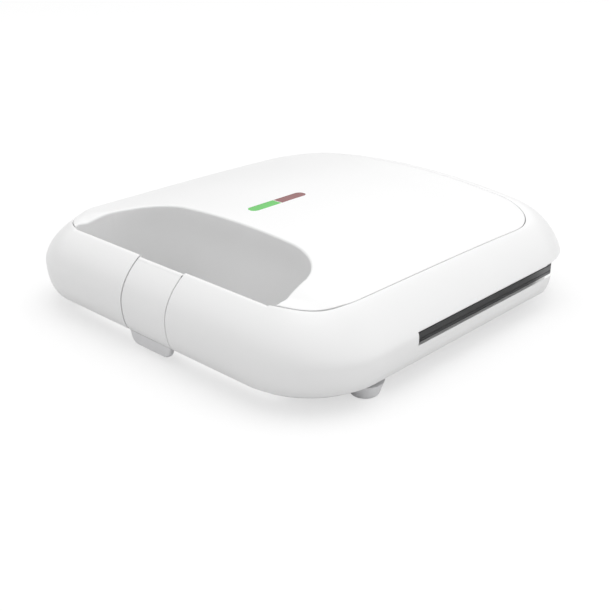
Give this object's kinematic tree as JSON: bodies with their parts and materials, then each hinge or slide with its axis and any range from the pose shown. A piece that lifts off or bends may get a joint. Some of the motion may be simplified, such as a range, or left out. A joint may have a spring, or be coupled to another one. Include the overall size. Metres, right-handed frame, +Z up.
{
  "type": "sandwich toaster",
  "caption": "Low sandwich toaster with a hinged lid, a through grip behind its front bar, a pivoting latch band, pocketed plates and an indicator bar.",
  "frame": {"origin": "centre of the footprint, on the table under the feet", "axes": "+Z up, -Y towards the grip bar and latch, +Y towards the hinge, +X to the right seen from the grip"},
  "size_m": [0.235, 0.2398, 0.058],
  "materials": {
    "gloss_white": "gloss",
    "satin_white": "satin",
    "light_grey": "satin",
    "foot_grey": "matt",
    "coated_plate": "non-stick coat",
    "heater_tube": "oxidised",
    "bright_steel": "zinc plated",
    "reflector_sheet": "bright",
    "ceramic": null,
    "lead_sleeve": "silicone sleeve",
    "block_plastic": "satin",
    "inlet_rubber": "matt",
    "thermostat_body": "phenolic",
    "board_green": "solder mask",
    "lamp_glass": "clear",
    "green_lens": "translucent",
    "red_lens": "translucent"
  },
  "bodies": {
    "base": {"base_shell": "satin_white", "lower_plate": "coated_plate", "lower_heater": "heater_tube", "lower_heater_seals": "ceramic", "lower_reflector": "reflector_sheet", "lower_plate_screws": "bright_steel", "terminal_block": "block_plastic", "terminal_screws": "bright_steel", "lower_leads": "lead_sleeve", "cord_inlet": "inlet_rubber", "hinge_pins": "bright_steel", "front_feet": "foot_grey", "rear_feet": "foot_grey", "foot_screws": "bright_steel"},
    "lid": {"lid_shell": "gloss_white", "lid_top_panel": "gloss_white", "panel_screws": "bright_steel", "lid_hinge_leaves": "bright_steel", "hinge_screws": "bright_steel", "latch_bracket": "bright_steel", "upper_plate": "coated_plate", "upper_heater": "heater_tube", "upper_heater_seals": "ceramic", "upper_reflector": "reflector_sheet", "upper_plate_screws": "bright_steel", "pan_screws": "bright_steel", "thermostat": "thermostat_body", "thermal_fuse": "bright_steel", "upper_leads": "lead_sleeve", "lamp_board": "board_green", "board_screws": "bright_steel", "lamps": "lamp_glass", "ready_lens": "green_lens", "power_lens": "red_lens", "latch_pin": "bright_steel", "latch_spring": "bright_steel"},
    "latch": {"latch_band": "gloss_white", "latch_tab": "light_grey"}
  },
  "joints": [
    {"name": "lid_hinge", "type": "hinge", "parent": "base", "child": "lid", "pos_m": [0, 0.1168, 0.0225], "axis": [-1, 0, 0], "range_deg": [0, 105]},
    {"name": "latch_pivot", "type": "hinge", "parent": "lid", "child": "latch", "pos_m": [0, -0.1098, 0.0375], "axis": [-1, 0, 0], "range_deg": [0, 15]}
  ]
}
